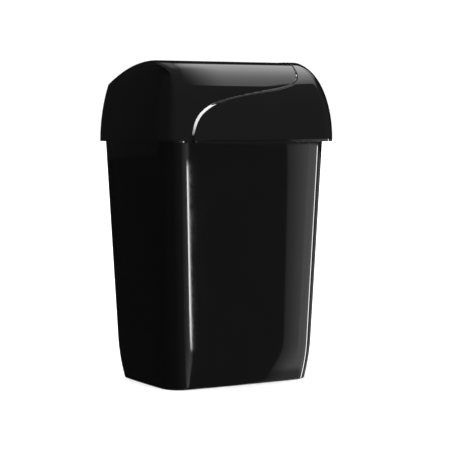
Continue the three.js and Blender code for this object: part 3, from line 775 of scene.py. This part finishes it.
class PanelSkin(Skin):
    """Front panel's wall, or with grow the solid that clears its seat in the hood.

    back_inset is how far its back lies behind the hood's surface. Rows are (share of the
    hood's height, inset, distance up the front's profile).
    """

    def __init__(self, back_inset, grow):
        super().__init__()
        self.back_inset = back_inset
        self.grow = grow
        self.y_end = PANEL_BACK_Y + grow
        steep_x, steep_up = WAVE_KNOTS[WAVE_STEEP_END]
        turn_x, turn_up = WAVE_KNOTS[WAVE_TURN]
        self.steep_x = steep_x - grow
        self.turn_x = turn_x - grow
        self.steep_up = steep_up + grow
        self.turn_up = turn_up + grow
        self.curve_x = WAVE[:, 0] - grow
        self.curve_up = WAVE[:, 1] + grow
        self.steep_part()
        self.middle_part()
        self.corner_part()

    def height(self, x, up):
        """How far the outer side stands proud of the hood's plain surface."""
        return SEAT_HEIGHT if self.grow else crest_height(x, max(up, 0)) + PANEL_STAND

    def sides(self, inset):
        """Depths of the outer and the inner side, and whether each is the outer one."""
        return ((inset, True), (self.back_inset - inset, False))

    def rows_up_to(self, top_up):
        """Rows from the rim up to top_up, closer together near the top."""
        if self.grow:
            rows = [(-SEAT_DROP / HOOD_HEIGHT, 0, 0)]
            foot = 0
        else:
            edge = list(reversed(rounding(PANEL_RIM_ROUND, 3)))[:-1]
            rows = [(drop / HOOD_HEIGHT, inset, 0) for inset, drop in edge]
            foot = PANEL_RIM_ROUND
        for i in range(PANEL_ROWS, -1, -1):
            up = foot + (top_up - foot) * (1 - (i / PANEL_ROWS) ** 1.6)
            rows.append((share_at(up), 0, up))
        return rows

    def front_pair(self, x, share, inset, up):
        """Outer and inner point of the front at x."""
        result = []
        for depth, outer in self.sides(inset):
            (_, _, front, slope), _, z = hood_level(share, depth, self.y_end)
            size = math.hypot(1, slope(x))
            height = self.height(x, up) if outer else 0
            result.append(raised(x, front(x), slope(x) / size, -1 / size, share, z, height))
        return tuple(result)

    def steep_part(self):
        """Lower left part, where the edge is steep."""
        low = WAVE[:, 1] <= WAVE_KNOTS[WAVE_STEEP_END][1]
        fractions = [(i / STEEP_COLUMNS) ** 1.5 for i in range(STEEP_COLUMNS + 1)]
        rows = []
        for share, inset, up in self.rows_up_to(self.steep_up):
            start = float(np.interp(max(up, 0), self.curve_up[low], self.curve_x[low]))
            xs = [start + (self.steep_x - start) * f for f in fractions]
            rows.append(self.row([self.front_pair(x, share, inset, up) for x in xs]))
        self.bridge_all(rows)

    def middle_part(self):
        """Middle part, column by column under the edge."""
        first = WAVE_STEEP_END * WAVE_STEPS
        columns = []
        for i in range(PANEL_COLUMNS + 1):
            x = self.steep_x + (self.turn_x - self.steep_x) * i / PANEL_COLUMNS
            edge_up = float(np.interp(x, self.curve_x[first:], self.curve_up[first:]))
            if i == 0:
                edge_up = self.steep_up
            rows = self.rows_up_to(edge_up)
            columns.append(self.row([self.front_pair(x, *row) for row in rows]))
        self.bridge_all(columns)

    def corner_rows(self):
        """Rows of the right part, up to the panel's rear edge and on to the ridge."""
        rows = self.rows_up_to(self.turn_up)
        rear_share = roof_share(self.y_end)
        rear_up = up_at(rear_share)
        for i in range(1, CORNER_ROWS + 1):
            up = self.turn_up + (rear_up - self.turn_up) * (i / CORNER_ROWS) ** 1.15
            rows.append((share_at(up) if i < CORNER_ROWS else rear_share, 0, up))
        for i in range(1, TOP_ROWS + 1):
            y = self.y_end + (RIDGE_Y - self.y_end) * i / TOP_ROWS
            share = roof_share(y) if i < TOP_ROWS else 1
            rows.append((share, 0, up_at(share)))
        return rows, rear_share

    def corner_side(self, start, share, up, depth, outer):
        """Wall and roof points of one side of a corner row, from start to the rear edge."""
        fractions = [(i / CORNER_COLUMNS) ** 1.6 for i in range(CORNER_COLUMNS + 1)]
        (half, end_x, front, slope), y_back, z = hood_level(share, depth, self.y_end)
        wall = []
        for x, y, nx, ny in front_points(start, end_x, front, slope, fractions[:-1]) + half[::-1]:
            height = self.height(x, up) if outer else 0
            wall.append(raised(x, y, nx, ny, share, z, height))
        roof = []
        for fraction in fractions[:-1]:
            x = start + (half[0][0] - start) * fraction
            height = self.height(x, 2 * PROFILE_END - up) if outer else 0
            roof.append(Vector((x, y_back, z + height)))
        return wall, roof + [wall[-1]]

    def corner_part(self):
        """Right part, from the edge round the corner to the panel's rear edge."""
        top = WAVE[:, 1] >= WAVE_KNOTS[WAVE_TURN][1]
        rows, rear_share = self.corner_rows()
        walls = []
        roofs = []
        for share, inset, up in rows:
            start = self.turn_x
            if up > self.turn_up:
                start = float(np.interp(up - self.grow, WAVE[top, 1], WAVE[top, 0])) - self.grow
            outer, inner = [self.corner_side(start, share, up, *side) for side in self.sides(inset)]
            walls.append(self.row(zip(outer[0], inner[0])))
            if share >= rear_share - 1e-12:
                roofs.append(self.row(zip(outer[1], inner[1])))
        self.bridge_all(walls)
        self.bridge_all([row[::-1] for row in roofs])


def raised(x, y, nx, ny, share, z, height):
    """Point moved out by height, square to the front's profile."""
    sine, cosine = profile_tilt(min(max(share, 0), 1))
    return Vector((x + nx * cosine * height, y + ny * cosine * height, z + sine * height))


def make_panel():
    return PanelSkin(PANEL_THICKNESS, 0).solid("bin_front_panel")


def make_seat():
    return PanelSkin(PANEL_THICKNESS + PANEL_GAP, PANEL_GAP).solid("seat")


# ---- Hood fittings ----

def hood_lip():
    """Turned-down rear edge of the roof, round the hinge axis."""
    outline = circle((HINGE_Y, HINGE_Z), LIP_RADIUS, 14, 0, LIP_TURN)
    outline += circle((HINGE_Y, HINGE_Z), LIP_RADIUS - LIP_WALL, 14, 0, LIP_TURN)[::-1]
    half = hood_half_width(HINGE_Y, KINK) - HOOD_WALL + LIP_SINK
    return prism("lip", outline, "x", -half, half)


def lug_slot(x):
    """Cutter that clears the rear panel's lugs, stepped so that the lip keeps its top."""
    front = HINGE_Y - LUG_SLOT_FRONT
    low = HINGE_Z - LUG_SLOT_BELOW
    top = HINGE_Z + LUG_SLOT_TOP
    step_y = HINGE_Y + LUG_SLOT_STEP
    step_top = HINGE_Z + LUG_SLOT_STEP_TOP
    outline = [
        (front, low), (CUT_Y, low), (CUT_Y, step_top), (step_y, step_top), (step_y, top), (front, top),
    ]
    return prism("slot", outline, "x", x - LUG_SLOT_HALF, x + LUG_SLOT_HALF)


def hood_knuckle(x):
    """Barrel round the hinge pin, with a web up to the roof."""
    barrel = circle((HINGE_Y, HINGE_Z), BARREL_RADIUS, 28, math.pi, math.pi)
    back = HINGE_Y + WEB_BACK
    top = HINGE_Z + WEB_TOP
    web = [(back, HINGE_Z + WEB_FOOT), (back, top), (HINGE_Y - BARREL_RADIUS, top)]
    return prism("knuckle", barrel + web, "x", x - KNUCKLE_HALF, x + KNUCKLE_HALF)


def hood_stops():
    """Ribs inside the hood that come down on the rubber clips."""
    levels = [STOP_BOTTOM + STOP_HEIGHT * i / 6 for i in range(7)]
    bottom, middle, top = levels[0], levels[3], levels[-1]
    stops = []
    for side in (-1, 1):
        x = side * STOP_X
        front_rib = []
        side_rib = []
        for z in levels:
            share = (z - RIM_Z) / HOOD_HEIGHT
            (_, _, front, _), _, _ = hood_level(share, HOOD_WALL / 2, BACK_Y)
            front_rib.append((front(x), z))
            side_rib.append((side * (hood_half_width(STOP_Y, share) - HOOD_WALL / 2), z))
        end = STOP_FRONT_END
        front_rib += [(end - STOP_FRONT_SLANT, top), (end, middle), (end, bottom)]
        stops.append(prism("stop", front_rib, "x", x - STOP_HALF, x + STOP_HALF))
        end = side * STOP_SIDE_END
        side_rib += [(side * (STOP_SIDE_END + STOP_SIDE_SLANT), top), (end, middle), (end, bottom)]
        stops.append(prism("stop", side_rib, "y", STOP_Y - STOP_HALF, STOP_Y + STOP_HALF))
    return stops


def make_hood():
    hood = hood_wall()
    roof_end = block(
        "roof_end",
        (-ROOF_END_HALF, ROOF_END_Y, HINGE_Z - ROOF_END_LOW),
        (ROOF_END_HALF, CUT_Y, HEIGHT + CUT_PAST))
    combine(hood, "DIFFERENCE", [make_seat(), roof_end])
    combine(hood, "UNION", [hood_lip()])
    hinges = (-HINGE_X, HINGE_X)
    combine(hood, "DIFFERENCE", [lug_slot(x) for x in hinges])
    combine(hood, "UNION", [hood_knuckle(x) for x in hinges] + hood_stops())
    outline = circle((HINGE_Y, HINGE_Z), PIN_HOLE, 28)
    bores = [prism("bore", outline, "x", x - PIN_HOLE_HALF, x + PIN_HOLE_HALF) for x in hinges]
    combine(hood, "DIFFERENCE", bores)
    return hood


# ---- Bag ring ----

def ring_loop(inset, z):
    """Bag ring's outline at z, moved in by inset from its outer edge."""
    shrink = BODY_WALL + RING_SIDE_GAP + inset
    outline = closed_outline(
        lambda y: body_half_width(y) - shrink,
        RING_BACK_Y - inset,
        BODY_FRONT_Y + shrink,
        BODY_CORNER - shrink,
        RING_BACK_CORNER,
        FRONT_BOW,
    )
    return [Vector((x, y, z)) for x, y in outline]


def ring_section():
    """Rounded section of the ring as (inset, z)."""
    turn = rounding(RING_EDGE_ROUND, 3)
    top = RING_BOTTOM + RING_THICKNESS
    section = [(a, top - b) for a, b in turn]
    section += [(RING_WIDTH - a, top - b) for a, b in reversed(turn)]
    section += [(RING_WIDTH - a, RING_BOTTOM + b) for a, b in turn]
    section += [(a, RING_BOTTOM + b) for a, b in reversed(turn)]
    return section


def ring_eye(x):
    """Eye round the ring's hinge pin, with a tongue into the ring's back."""
    outline = circle(
        (RING_HINGE_Y, RING_HINGE_Z), RING_EYE_RADIUS, 28, -RING_EYE_TURN / 2, RING_EYE_TURN)
    root = RING_BACK_Y - RING_TONGUE
    outline += [(root, RING_BOTTOM + RING_THICKNESS), (root, RING_BOTTOM)]
    return prism("eye", outline, "x", x - RING_EYE_HALF, x + RING_EYE_HALF)


def ring_grip():
    """Upright finger grip with rounded corners at the middle of the ring's front."""
    y = BODY_FRONT_Y + BODY_WALL + RING_SIDE_GAP + RING_WIDTH - GRIP_SETBACK
    low = RING_BOTTOM + RING_THICKNESS
    corner_x = GRIP_HALF - GRIP_CORNER
    corner_z = low + GRIP_HEIGHT - GRIP_CORNER
    quarter = math.pi / 2
    outline = [(-GRIP_HALF, low - GRIP_ROOT), (GRIP_HALF, low - GRIP_ROOT)]
    outline += circle((corner_x, corner_z), GRIP_CORNER, 8, 0, quarter)
    outline += circle((-corner_x, corner_z), GRIP_CORNER, 8, quarter, quarter)
    return prism("grip", outline, "y", y, y + GRIP_THICKNESS)


def make_ring():
    ring = loft("bin_bag_ring", [ring_loop(inset, z) for inset, z in ring_section()], ring=True)
    hinges = (-RING_HINGE_X, RING_HINGE_X)
    combine(ring, "UNION", [ring_eye(x) for x in hinges] + [ring_grip()])
    outline = circle((RING_HINGE_Y, RING_HINGE_Z), RING_PIN_HOLE, 24)
    reach = RING_EYE_HALF + RING_PIN_PAST
    combine(ring, "DIFFERENCE", [prism("bore", outline, "x", x - reach, x + reach) for x in hinges])
    return ring


# ---- Materials ----

NOISE_DETAIL = 3.0
NOISE_LOW = 0.3
NOISE_HIGH = 0.7
SOFT_EDGE = 0.0003


def shader_nodes(name):
    material = bpy.data.materials.new(name)
    material.use_nodes = True
    tree = material.node_tree
    return material, tree, tree.nodes["Principled BSDF"]


def noise(tree, scale):
    """Noise texture in the object's own coordinates, scale in features per metre."""
    place = tree.nodes.new("ShaderNodeTexCoord")
    texture = tree.nodes.new("ShaderNodeTexNoise")
    texture.inputs["Scale"].default_value = scale
    texture.inputs["Detail"].default_value = NOISE_DETAIL
    tree.links.new(place.outputs["Object"], texture.inputs["Vector"])
    return texture.outputs["Fac"]


def cloud_colour(tree, shader, scale, dark, light):
    """Base colour that drifts between dark and light."""
    node = tree.nodes.new("ShaderNodeValToRGB")
    for element, place, colour in zip(node.color_ramp.elements, (NOISE_LOW, NOISE_HIGH), (dark, light)):
        element.position = place
        element.color = (*colour, 1)
    tree.links.new(noise(tree, scale), node.inputs["Fac"])
    tree.links.new(node.outputs["Color"], shader.inputs["Base Color"])


def cloud_roughness(tree, shader, scale, low, high):
    """Roughness that drifts between low and high."""
    node = tree.nodes.new("ShaderNodeMapRange")
    node.inputs["From Min"].default_value = NOISE_LOW
    node.inputs["From Max"].default_value = NOISE_HIGH
    node.inputs["To Min"].default_value = low
    node.inputs["To Max"].default_value = high
    tree.links.new(noise(tree, scale), node.inputs["Value"])
    tree.links.new(node.outputs["Result"], shader.inputs["Roughness"])


def grain(tree, shader, scale, depth, strength):
    """Fine bump, depth in metres."""
    node = tree.nodes.new("ShaderNodeBump")
    node.inputs["Strength"].default_value = strength
    node.inputs["Distance"].default_value = depth
    tree.links.new(noise(tree, scale), node.inputs["Height"])
    tree.links.new(node.outputs["Normal"], shader.inputs["Normal"])


def gloss_black():
    """Polished moulded plastic, with a faint cloudiness in its gloss."""
    material, tree, shader = shader_nodes("gloss_black")
    cloud_colour(tree, shader, 14, (0.0006, 0.0006, 0.0007), (0.0009, 0.0009, 0.0010))
    cloud_roughness(tree, shader, 60, 0.02, 0.035)
    shader.inputs["IOR"].default_value = 1.5
    return material


def satin_black():
    """Fine spark-eroded texture on black plastic."""
    material, tree, shader = shader_nodes("satin_black")
    cloud_colour(tree, shader, 20, (0.006, 0.006, 0.0065), (0.009, 0.009, 0.0095))
    cloud_roughness(tree, shader, 300, 0.38, 0.5)
    shader.inputs["IOR"].default_value = 1.5
    grain(tree, shader, 2500, 0.00005, 0.5)
    return material


def grey_plastic():
    """Half-matt dark grey plastic."""
    material, tree, shader = shader_nodes("grey_plastic")
    cloud_colour(tree, shader, 25, (0.11, 0.115, 0.12), (0.135, 0.14, 0.145))
    cloud_roughness(tree, shader, 200, 0.32, 0.45)
    shader.inputs["IOR"].default_value = 1.48
    grain(tree, shader, 1800, 0.00004, 0.4)
    return material


def black_rubber():
    """Dull moulded rubber."""
    material, tree, shader = shader_nodes("black_rubber")
    cloud_colour(tree, shader, 40, (0.010, 0.010, 0.010), (0.018, 0.018, 0.018))
    cloud_roughness(tree, shader, 400, 0.7, 0.85)
    shader.inputs["IOR"].default_value = 1.45
    grain(tree, shader, 1500, 0.00008, 0.5)
    return material


def zinc_steel():
    """Bright zinc-plated steel with faint clouding."""
    material, tree, shader = shader_nodes("steel")
    cloud_colour(tree, shader, 150, (0.52, 0.53, 0.55), (0.66, 0.67, 0.69))
    cloud_roughness(tree, shader, 500, 0.22, 0.36)
    shader.inputs["Metallic"].default_value = 1.0
    grain(tree, shader, 2500, 0.00003, 0.4)
    return material


MATERIALS = {
    "gloss_black": gloss_black(),
    "satin_black": satin_black(),
    "grey_plastic": grey_plastic(),
    "black_rubber": black_rubber(),
    "steel": zinc_steel(),
}


def finish_piece(piece, body, slot, *replaced):
    piece.data.materials.clear()
    piece.data.materials.append(MATERIALS[slot])
    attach(piece, body)
    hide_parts(*replaced)


def dress_cad_nodes(replaced):
    """Material and softened edges for each CAD node that stays in view."""
    slots = {}
    for row in frame["record"]["subparts"]:
        slots[row["node"]] = row["material_slot"]
    for name, node in frame["nodes"].items():
        if name in replaced:
            continue
        for slot in node.material_slots:
            slot.material = MATERIALS[slots[name]]
        edge = node.modifiers.new("soft_edges", "BEVEL")
        edge.width = SOFT_EDGE
        edge.segments = 2
        edge.limit_method = "ANGLE"
        edge.angle_limit = math.radians(35)


# ---- Stage ----

# Angles are in degrees: azimuth from the front toward +X, elevation up from the horizon, and
# over from 0 at the front horizon through 90 overhead to 180 at the back. Sideways is the x
# of a unit direction. A step is (start, end, size), a smooth rise from 0 at start to size at
# end, with size 1 where it is left out; it runs backwards where start is above end.
WHITE = 1.05
MATT_LIGHT = 2.2
HORIZON = (-3.5, -3.1)

# Near-left strip, low down
STRIP_LEVEL = 0.015
STRIP_STEPS = (
    (-180, -60, 0.02), (-110, -60, 0.02), (-40, 15, 0.09), (14.5, 17.5, 0.17), (19.5, 24.5, 0.8),
)
STRIP_END = 22.81
STRIP_END_LEAN = -0.018
STRIP_END_BEND = (-12, -26, 1.1)
STRIP_EDGE = (0.06, -0.06)

# Thin tube at the strip's end
TUBE_LEAN = 0.0535
TUBE_LEFT = (-0.95, -0.85)
TUBE_RIGHT = (0.04, -0.06)
TUBE_FOOT = (-16, -13)
TUBE_TOP = (-5.2, -7.2, 22.0)

# Dim wall between the strip and the screen
MIDDLE_EDGE = (-0.06, 0.06, 0.13)
MIDDLE_END = (60, 90)

# Screen on the right, the tube at its far end and the wall beyond
SCREEN_START = 32.5
SCREEN_LEAN = -0.11
SCREEN_STEPS = ((-0.08, 0.08, 0.28), (-0.3, 3.4))
SCREEN_END = (-1, -5)
SCREEN_FOOT = (-23.5, -27, 0.65)
END_TUBE = 69.0
END_TUBE_LEAN = -0.75
END_TUBE_LEFT = (-4, -2)
END_TUBE_RIGHT = (4, 2, 16.0)
BEYOND_STEP = (9, 16, 0.35)
BEYOND_FADE = (120, 178, 0.9)

# Walls above the horizon
WALL_LEVEL = 0.035
WALL_STEPS = ((-150, -85, 0.055), (-60, 10, 0.125))
WALL_END = (50, 120, 0.8)
WALL_END_TOP = (30, 55)

# Wide light overhead
LIGHT_LEVEL = 1.5
LIGHT_STEP = (60, 110)
LIGHT_DIM = (110, 130, 0.2)
LIGHT_FRONT = 63.0
LIGHT_FRONT_BEND = (0.495, 0.52, 7.0)
LIGHT_FRONT_EDGE = (-0.7, 0.7)
LIGHT_BACK = (143, 134.5)
LIGHT_LEFT = (0.433, 0.469)
LIGHT_LEFT_LEAN = (108, 130, 0.012)
LIGHT_RIGHT_DIM = (0.50, 0.75, 0.65)
LIGHT_RIGHT = (0.72, 0.80)
FAR_STEP = (106, 118, 0.4)
FAR_LEFT = (0.16, 0.26)
FAR_RIGHT = (0.40, 0.46)

# Cards: name, azimuth, elevation, width and height in degrees, radiance, and the share of the
# height over which the card fades in from its low end
CARD_DISTANCE = 8.0
CARDS = (
    ("wave_card", -60, 55, 20, 82, 20.0, 0.35),
    ("wave_fill", 112, 62, 40, 34, 0.38, 0),
    ("wave_top", 172, 69, 13, 19, 2.4, 0),
)

FLOOR_HALF = 30
FLOOR_GREY = 0.85
CAMERA_LENS = 115.84
CAMERA_PLACE = (-1.40703, -2.65742, 0.54261)
CAMERA_AIM = (0.46822, 0.88059, -0.07306)


def make_floor():
    """Pale floor that the gloss doesn't mirror."""
    corners = [(-1, -1), (1, -1), (1, 1), (-1, 1)]
    mesh = bpy.data.meshes.new("floor")
    mesh.from_pydata([(FLOOR_HALF * x, FLOOR_HALF * y, 0) for x, y in corners], [], [(0, 1, 2, 3)])
    floor = placed("floor", mesh)
    material, _, shader = shader_nodes("floor")
    shader.inputs["Base Color"].default_value = (FLOOR_GREY, FLOOR_GREY, FLOOR_GREY, 1)
    shader.inputs["Roughness"].default_value = 0.9
    shader.inputs["Specular IOR Level"].default_value = 0.0
    mesh.materials.append(material)
    floor.visible_glossy = False


def work_out(tree, operation, *values):
    """Maths node over numbers and other nodes' outputs."""
    node = tree.nodes.new("ShaderNodeMath")
    node.operation = operation
    for slot, value in enumerate(values):
        if isinstance(value, (int, float)):
            node.inputs[slot].default_value = value
        else:
            tree.links.new(value, node.inputs[slot])
    return node.outputs[0]


def rise(tree, value, low, high, size=1.0):
    """Smooth step from 0 at low to size at high; low may lie above high."""
    node = tree.nodes.new("ShaderNodeMapRange")
    node.interpolation_type = "SMOOTHSTEP"
    node.inputs["From Min"].default_value = low
    node.inputs["From Max"].default_value = high
    node.inputs["To Max"].default_value = size
    tree.links.new(value, node.inputs["Value"])
    return node.outputs["Result"]


def less(tree, value, low, high, share=1.0):
    """Factor that falls from 1 at low to 1 - share at high."""
    return work_out(tree, "SUBTRACT", 1.0, rise(tree, value, low, high, share))


def total(tree, *values):
    result = values[0]
    for value in values[1:]:
        result = work_out(tree, "ADD", result, value)
    return result


def product(tree, *values):
    result = values[0]
    for value in values[1:]:
        result = work_out(tree, "MULTIPLY", result, value)
    return result


def stepped(tree, value, base, steps):
    """Base level with steps of value added."""
    return total(tree, *[rise(tree, value, *step) for step in steps], base)


def past(tree, azimuth, elevation, place, lean):
    """Angle past an upright edge at place on the horizon, which leans with the elevation."""
    return work_out(tree, "SUBTRACT", azimuth, work_out(tree, "MULTIPLY_ADD", elevation, lean, place))


def low_studio(tree, azimuth, elevation):
    """What the upright container mirrors: a near-left strip, and a screen on the right."""
    past_strip = work_out(
        tree, "SUBTRACT", past(tree, azimuth, elevation, STRIP_END, STRIP_END_LEAN),
        rise(tree, elevation, *STRIP_END_BEND))
    strip = product(
        tree, stepped(tree, azimuth, STRIP_LEVEL, STRIP_STEPS), rise(tree, past_strip, *STRIP_EDGE))
    tube_side = work_out(tree, "MULTIPLY_ADD", elevation, TUBE_LEAN, past_strip)
    tube = product(
        tree, rise(tree, tube_side, *TUBE_LEFT), rise(tree, past_strip, *TUBE_RIGHT),
        rise(tree, elevation, *TUBE_FOOT), rise(tree, elevation, *TUBE_TOP))
    middle = product(
        tree, rise(tree, past_strip, *MIDDLE_EDGE), less(tree, azimuth, *MIDDLE_END))

    past_edge = past(tree, azimuth, elevation, SCREEN_START, SCREEN_LEAN)
    past_tube = past(tree, azimuth, elevation, END_TUBE, END_TUBE_LEAN)
    level = total(tree, *[rise(tree, past_edge, *step) for step in SCREEN_STEPS])
    screen = product(
        tree, level, rise(tree, past_tube, *SCREEN_END), less(tree, elevation, *SCREEN_FOOT))
    end_tube = product(
        tree, rise(tree, past_tube, *END_TUBE_LEFT), rise(tree, past_tube, *END_TUBE_RIGHT))
    beyond = product(
        tree, rise(tree, past_tube, *BEYOND_STEP), less(tree, azimuth, *BEYOND_FADE))
    return total(tree, strip, tube, middle, screen, end_tube, beyond)


def high_studio(tree, azimuth, elevation, sideways, over):
    """What the hood mirrors: dim walls, and a wide light overhead."""
    wall_end = product(
        tree, rise(tree, azimuth, *WALL_END), less(tree, elevation, *WALL_END_TOP))
    walls = product(
        tree, stepped(tree, azimuth, WALL_LEVEL, WALL_STEPS), less(tree, wall_end, 0, 1))

    front = total(tree, rise(tree, sideways, *LIGHT_FRONT_BEND), LIGHT_FRONT)
    past_front = work_out(tree, "SUBTRACT", over, front)
    leaning = total(tree, sideways, rise(tree, over, *LIGHT_LEFT_LEAN))
    back = rise(tree, over, *LIGHT_BACK)
    light = product(
        tree, stepped(tree, over, LIGHT_LEVEL, [LIGHT_STEP]), less(tree, over, *LIGHT_DIM),
        rise(tree, past_front, *LIGHT_FRONT_EDGE), back, rise(tree, leaning, *LIGHT_LEFT),
        less(tree, sideways, *LIGHT_RIGHT_DIM), less(tree, sideways, *LIGHT_RIGHT))
    far_end = product(
        tree, rise(tree, over, *FAR_STEP), back, rise(tree, sideways, *FAR_LEFT),
        less(tree, sideways, *FAR_RIGHT))
    return total(tree, walls, light, far_end)


def make_world():
    """White behind the bin and on matt surfaces; the studio in what the gloss mirrors."""
    world = bpy.data.worlds.new("studio")
    bpy.context.scene.world = world
    world.use_nodes = True
    tree = world.node_tree
    background = tree.nodes["Background"]
    place = tree.nodes.new("ShaderNodeTexCoord")
    split = tree.nodes.new("ShaderNodeSeparateXYZ")
    tree.links.new(place.outputs["Generated"], split.inputs["Vector"])
    sideways, _, up = split.outputs
    forward = work_out(tree, "MULTIPLY", split.outputs["Y"], -1.0)

    def angle(operation, *values):
        return work_out(tree, "DEGREES", work_out(tree, operation, *values))

    azimuth = angle("ARCTAN2", sideways, forward)
    elevation = angle("ARCSINE", up)
    over = angle("ARCTAN2", up, forward)
    high = rise(tree, elevation, *HORIZON)
    low = less(tree, elevation, *HORIZON)
    studio = total(
        tree, product(tree, high, high_studio(tree, azimuth, elevation, sideways, over)),
        product(tree, low, low_studio(tree, azimuth, elevation)))

    path = tree.nodes.new("ShaderNodeLightPath")
    white = total(
        tree, product(tree, path.outputs["Is Camera Ray"], WHITE),
        product(tree, path.outputs["Is Diffuse Ray"], MATT_LIGHT))
    shown = product(tree, path.outputs["Is Glossy Ray"], studio)
    tree.links.new(total(tree, white, shown), background.inputs["Strength"])
    background.inputs["Color"].default_value = (1, 1, 1, 1)


def fade_in(light, share):
    """Makes a light fade in over a share of its height."""
    light.use_nodes = True
    tree = light.node_tree
    where = tree.nodes.new("ShaderNodeNewGeometry")
    split = tree.nodes.new("ShaderNodeSeparateXYZ")
    tree.links.new(where.outputs["Parametric"], split.inputs["Vector"])
    strength = rise(tree, split.outputs["Y"], 0, share)
    tree.links.new(strength, tree.nodes["Emission"].inputs["Strength"])


def card(receiver, name, azimuth, elevation, width, height, radiance, fade):
    """Far rectangular light that falls on one piece only."""
    turn = math.radians(azimuth)
    tilt = math.radians(elevation)
    flat = CARD_DISTANCE * math.cos(tilt)
    size = [2 * CARD_DISTANCE * math.tan(math.radians(angle) / 2) for angle in (width, height)]
    light = bpy.data.lights.new(name, "AREA")
    light.shape = "RECTANGLE"
    light.size, light.size_y = size
    light.energy = radiance * math.pi * size[0] * size[1]
    lamp = placed(name, light)
    lamp.location = (flat * math.sin(turn), -flat * math.cos(turn), CARD_DISTANCE * math.sin(tilt))
    lamp.rotation_euler = (-lamp.location).to_track_quat("-Z", "Y").to_euler()
    lamp.visible_camera = False
    receivers = bpy.data.collections.new(name + "_receivers")
    receivers.objects.link(receiver)
    lamp.light_linking.receiver_collection = receivers
    if fade:
        fade_in(light, fade)


def make_lights(front_panel):
    """Cards that pick out the front panel's wave edge."""
    for row in CARDS:
        card(front_panel, *row)


def make_camera():
    camera = bpy.data.cameras.new("camera")
    camera.sensor_width = 36
    camera.lens = CAMERA_LENS
    view = placed("camera", camera)
    view.location = CAMERA_PLACE
    view.rotation_euler = Vector(CAMERA_AIM).to_track_quat("-Z", "Y").to_euler()
    bpy.context.scene.camera = view


# ---- Assembly ----

finish_piece(make_body(), "bin", "gloss_black", "body_shell")
finish_piece(make_hood(), "hood", "gloss_black", "hood_shell")
front_panel = make_panel()
finish_piece(front_panel, "hood", "gloss_black", "hood_front_panel")
finish_piece(make_ring(), "ring", "grey_plastic", "bag_ring")
dress_cad_nodes({"body_shell", "hood_shell", "hood_front_panel", "bag_ring"})

make_floor()
make_world()
make_lights(front_panel)
make_camera()
bpy.context.scene.view_settings.view_transform = "Standard"
